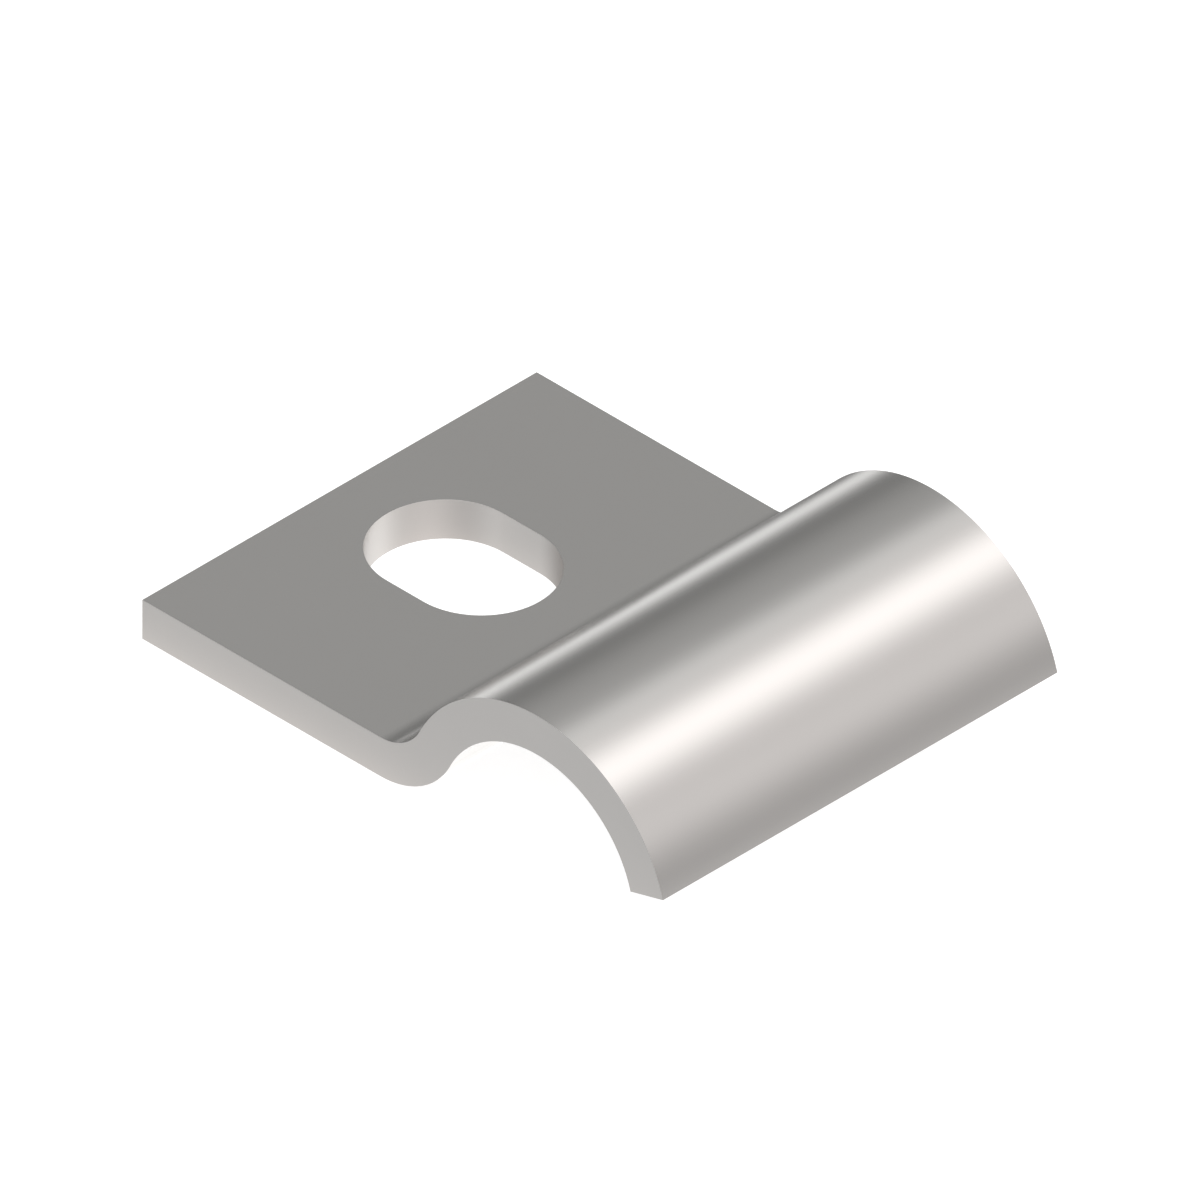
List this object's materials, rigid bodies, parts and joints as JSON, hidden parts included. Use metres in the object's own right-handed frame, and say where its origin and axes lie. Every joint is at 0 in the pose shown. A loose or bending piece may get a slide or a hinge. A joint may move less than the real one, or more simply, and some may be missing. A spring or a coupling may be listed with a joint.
{
  "type": "flange clamp half",
  "caption": "Formed sheet tube clamp half: a flat slotted flange that bends up into a saddle over the tube and holds it down on a flat surface.",
  "frame": {"origin": "on the tube's axis, at mid-width, on the plane of the mounting face", "axes": "+X along the tube, +Y towards the flange's free edge, +Z away from the mounting face"},
  "size_m": [0.035, 0.0462, 0.0116],
  "materials": {
    "steel": "satin stainless sheet with cut edges"
  },
  "bodies": {
    "root": {"clamp_half": "steel"}
  },
  "joints": []
}
